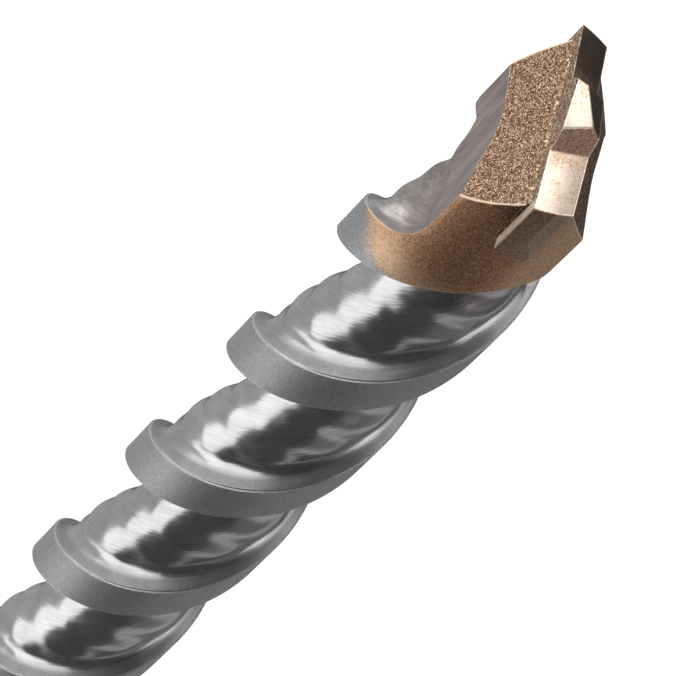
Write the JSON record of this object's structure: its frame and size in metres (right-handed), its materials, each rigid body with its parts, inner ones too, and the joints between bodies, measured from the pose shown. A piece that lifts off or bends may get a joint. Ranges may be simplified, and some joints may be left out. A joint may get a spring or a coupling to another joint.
{
  "type": "masonry drill bit",
  "caption": "Masonry drill bit with a spiral steel body, a brazed carbide cutting plate with a centring point, and a grooved quick-change shank.",
  "frame": {"origin": "centre of the flat end of the shank", "axes": "+Z along the drill axis towards the tip, +X along the cutting plate"},
  "size_m": [0.0102, 0.01, 0.16],
  "materials": {
    "steel": "blasted grey lands, smooth ground flutes, copper tint from brazing heat at the head",
    "carbide": "ground hard metal, fine grain, satin",
    "braze": "thin seam of brazing alloy, dull gold"
  },
  "bodies": {
    "root": {"drill_body": "steel", "carbide_plate": "carbide", "braze_layer": "braze"}
  },
  "joints": []
}
